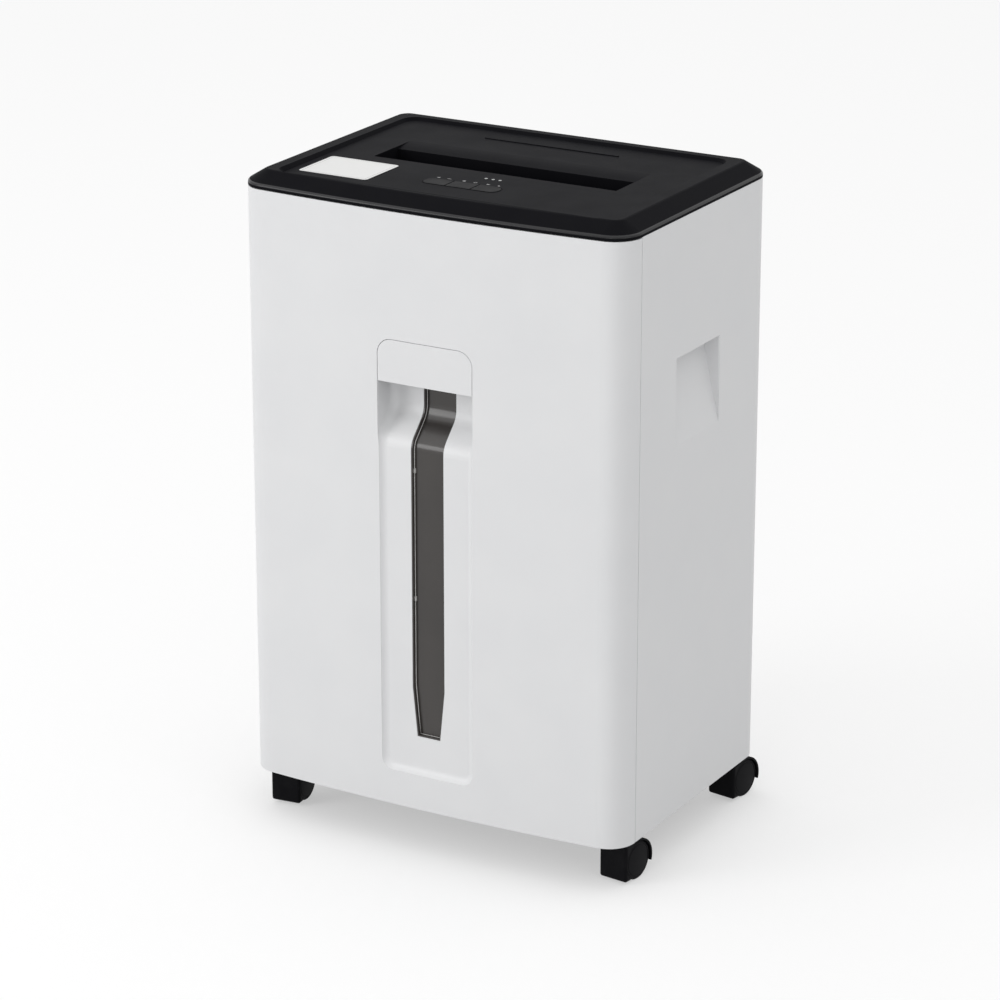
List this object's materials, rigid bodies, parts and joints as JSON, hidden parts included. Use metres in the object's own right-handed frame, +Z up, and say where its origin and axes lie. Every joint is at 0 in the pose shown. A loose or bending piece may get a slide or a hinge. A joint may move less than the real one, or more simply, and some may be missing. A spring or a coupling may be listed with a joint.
{
  "type": "paper shredder",
  "caption": "Upright office paper shredder: bowed white cabinet on twin-wheel castors, black lid with paper slot and keys, pull-out waste bin with a smoked view window.",
  "frame": {"origin": "on the floor under the middle of the cabinet", "axes": "+Z up, the bin front faces -Y, +X to the right of someone facing the machine's front"},
  "size_m": [0.36, 0.2668, 0.566],
  "materials": {
    "white_shell": "fine satin texture",
    "black_lid": "fine spark-eroded texture",
    "dark_base": "satin",
    "head_plastic": "satin",
    "smoked_window": "smoked transparent",
    "key_grey": "satin",
    "lens_clear": "polished",
    "circuit_board": "solder mask",
    "sensor_black": "satin",
    "plated_steel": "zinc plated",
    "cutter_steel": "ground and oiled",
    "comb_plastic": "natural nylon",
    "bush_bronze": "sintered",
    "mount_rubber": "matt",
    "motor_paint": "satin paint",
    "castor_black": "satin"
  },
  "bodies": {
    "cabinet": {"left_side_panel": "white_shell", "right_side_panel": "white_shell", "rear_panel": "white_shell", "case_screws": "plated_steel", "base_pan": "dark_base", "bin_rails": "dark_base", "head_deck": "head_plastic", "top_cover": "black_lid", "control_board": "circuit_board", "indicator_lenses": "lens_clear", "bin_sensor": "sensor_black", "stripper_combs": "comb_plastic", "head_plate_right": "plated_steel", "head_plate_left": "plated_steel", "cutter_bushes": "bush_bronze", "tie_bars": "plated_steel", "rubber_mounts": "mount_rubber", "paper_throat": "head_plastic", "paper_sensor": "sensor_black", "gear_cover": "head_plastic", "motor_can": "motor_paint", "mains_inlet": "sensor_black", "switch_housing": "sensor_black", "castor_stems": "plated_steel"},
    "waste_bin": {"bin_front_panel": "white_shell", "bin_screws": "plated_steel", "handle_plate": "white_shell", "view_window": "smoked_window", "bin_tub": "dark_base", "bin_magnet": "plated_steel"},
    "reverse_key": {"key_reverse": "key_grey"},
    "stop_key": {"key_stop": "key_grey"},
    "auto_key": {"key_auto": "key_grey"},
    "rocker": {"power_rocker": "sensor_black"},
    "rear_cutter": {"cutter_shaft_rear": "cutter_steel", "cutter_discs_rear": "cutter_steel", "sync_gear_rear": "cutter_steel", "drive_gear": "cutter_steel"},
    "front_cutter": {"cutter_shaft_front": "cutter_steel", "cutter_discs_front": "cutter_steel", "sync_gear_front": "cutter_steel"},
    "idler": {"idler_gear": "comb_plastic"},
    "motor_shaft": {"motor_rotor": "cutter_steel", "motor_pinion": "cutter_steel"},
    "castor_front_left": {"castor_hood_front_left": "castor_black", "castor_axle_front_left": "plated_steel"},
    "wheel_front_left_inner": {"castor_wheel_front_left_inner": "castor_black"},
    "wheel_front_left_outer": {"castor_wheel_front_left_outer": "castor_black"},
    "castor_front_right": {"castor_hood_front_right": "castor_black", "castor_axle_front_right": "plated_steel"},
    "wheel_front_right_inner": {"castor_wheel_front_right_inner": "castor_black"},
    "wheel_front_right_outer": {"castor_wheel_front_right_outer": "castor_black"},
    "castor_rear_left": {"castor_hood_rear_left": "castor_black", "castor_axle_rear_left": "plated_steel"},
    "wheel_rear_left_inner": {"castor_wheel_rear_left_inner": "castor_black"},
    "wheel_rear_left_outer": {"castor_wheel_rear_left_outer": "castor_black"},
    "castor_rear_right": {"castor_hood_rear_right": "castor_black", "castor_axle_rear_right": "plated_steel"},
    "wheel_rear_right_inner": {"castor_wheel_rear_right_inner": "castor_black"},
    "wheel_rear_right_outer": {"castor_wheel_rear_right_outer": "castor_black"}
  },
  "joints": [
    {"name": "bin_slide", "type": "slide", "parent": "cabinet", "child": "waste_bin", "axis": [0, -1, 0], "range_m": [0, 0.235]},
    {"name": "reverse_press", "type": "slide", "parent": "cabinet", "child": "reverse_key", "axis": [0, 0, -1], "range_m": [0, 0.0012], "stiffness_N_per_m": 1500, "springref_m": -0.0006},
    {"name": "stop_press", "type": "slide", "parent": "cabinet", "child": "stop_key", "axis": [0, 0, -1], "range_m": [0, 0.0012], "stiffness_N_per_m": 1500, "springref_m": -0.0006},
    {"name": "auto_press", "type": "slide", "parent": "cabinet", "child": "auto_key", "axis": [0, 0, -1], "range_m": [0, 0.0012], "stiffness_N_per_m": 1500, "springref_m": -0.0006},
    {"name": "power_tilt", "type": "hinge", "parent": "cabinet", "child": "rocker", "pos_m": [0.134, 0.1265, 0.474], "axis": [1, 0, 0], "range_deg": [0, 16]},
    {"name": "rear_cutter_turn", "type": "hinge", "parent": "cabinet", "child": "rear_cutter", "pos_m": [0, 0.018, 0.464], "axis": [1, 0, 0], "continuous": true},
    {"name": "front_cutter_turn", "type": "hinge", "parent": "cabinet", "child": "front_cutter", "pos_m": [0, -0.018, 0.464], "axis": [1, 0, 0], "continuous": true},
    {"name": "idler_turn", "type": "hinge", "parent": "cabinet", "child": "idler", "pos_m": [0, 0.07039, 0.47711], "axis": [1, 0, 0], "continuous": true},
    {"name": "motor_turn", "type": "hinge", "parent": "cabinet", "child": "motor_shaft", "pos_m": [0, 0.088, 0.444], "axis": [1, 0, 0], "continuous": true},
    {"name": "swivel_front_left", "type": "hinge", "parent": "cabinet", "child": "castor_front_left", "pos_m": [-0.161, -0.091, 0.03], "axis": [0, 0, 1], "continuous": true},
    {"name": "roll_front_left_inner", "type": "hinge", "parent": "castor_front_left", "child": "wheel_front_left_inner", "pos_m": [-0.16199, -0.08155, 0.017], "axis": [0.9945, 0.1045, 0], "continuous": true},
    {"name": "roll_front_left_outer", "type": "hinge", "parent": "castor_front_left", "child": "wheel_front_left_outer", "pos_m": [-0.16199, -0.08155, 0.017], "axis": [0.9945, 0.1045, 0], "continuous": true},
    {"name": "swivel_front_right", "type": "hinge", "parent": "cabinet", "child": "castor_front_right", "pos_m": [0.161, -0.091, 0.03], "axis": [0, 0, 1], "continuous": true},
    {"name": "roll_front_right_inner", "type": "hinge", "parent": "castor_front_right", "child": "wheel_front_right_inner", "pos_m": [0.16216, -0.08157, 0.017], "axis": [0.9925, -0.1219, 0], "continuous": true},
    {"name": "roll_front_right_outer", "type": "hinge", "parent": "castor_front_right", "child": "wheel_front_right_outer", "pos_m": [0.16216, -0.08157, 0.017], "axis": [0.9925, -0.1219, 0], "continuous": true},
    {"name": "swivel_rear_left", "type": "hinge", "parent": "cabinet", "child": "castor_rear_left", "pos_m": [-0.161, 0.1065, 0.03], "axis": [0, 0, 1], "continuous": true},
    {"name": "roll_rear_left_inner", "type": "hinge", "parent": "castor_rear_left", "child": "wheel_rear_left_inner", "pos_m": [-0.16232, 0.11591, 0.017], "axis": [0.9903, 0.1392, 0], "continuous": true},
    {"name": "roll_rear_left_outer", "type": "hinge", "parent": "castor_rear_left", "child": "wheel_rear_left_outer", "pos_m": [-0.16232, 0.11591, 0.017], "axis": [0.9903, 0.1392, 0], "continuous": true},
    {"name": "swivel_rear_right", "type": "hinge", "parent": "cabinet", "child": "castor_rear_right", "pos_m": [0.161, 0.1065, 0.03], "axis": [0, 0, 1], "continuous": true},
    {"name": "roll_rear_right_inner", "type": "hinge", "parent": "castor_rear_right", "child": "wheel_rear_right_inner", "pos_m": [0.16249, 0.11588, 0.017], "axis": [0.9877, -0.1564, 0], "continuous": true},
    {"name": "roll_rear_right_outer", "type": "hinge", "parent": "castor_rear_right", "child": "wheel_rear_right_outer", "pos_m": [0.16249, 0.11588, 0.017], "axis": [0.9877, -0.1564, 0], "continuous": true}
  ],
  "couplings": [
    {"joint": "front_cutter_turn", "follows": "rear_cutter_turn", "ratio": -1},
    {"joint": "idler_turn", "follows": "rear_cutter_turn", "ratio": -3.5},
    {"joint": "motor_turn", "follows": "rear_cutter_turn", "ratio": 14}
  ]
}
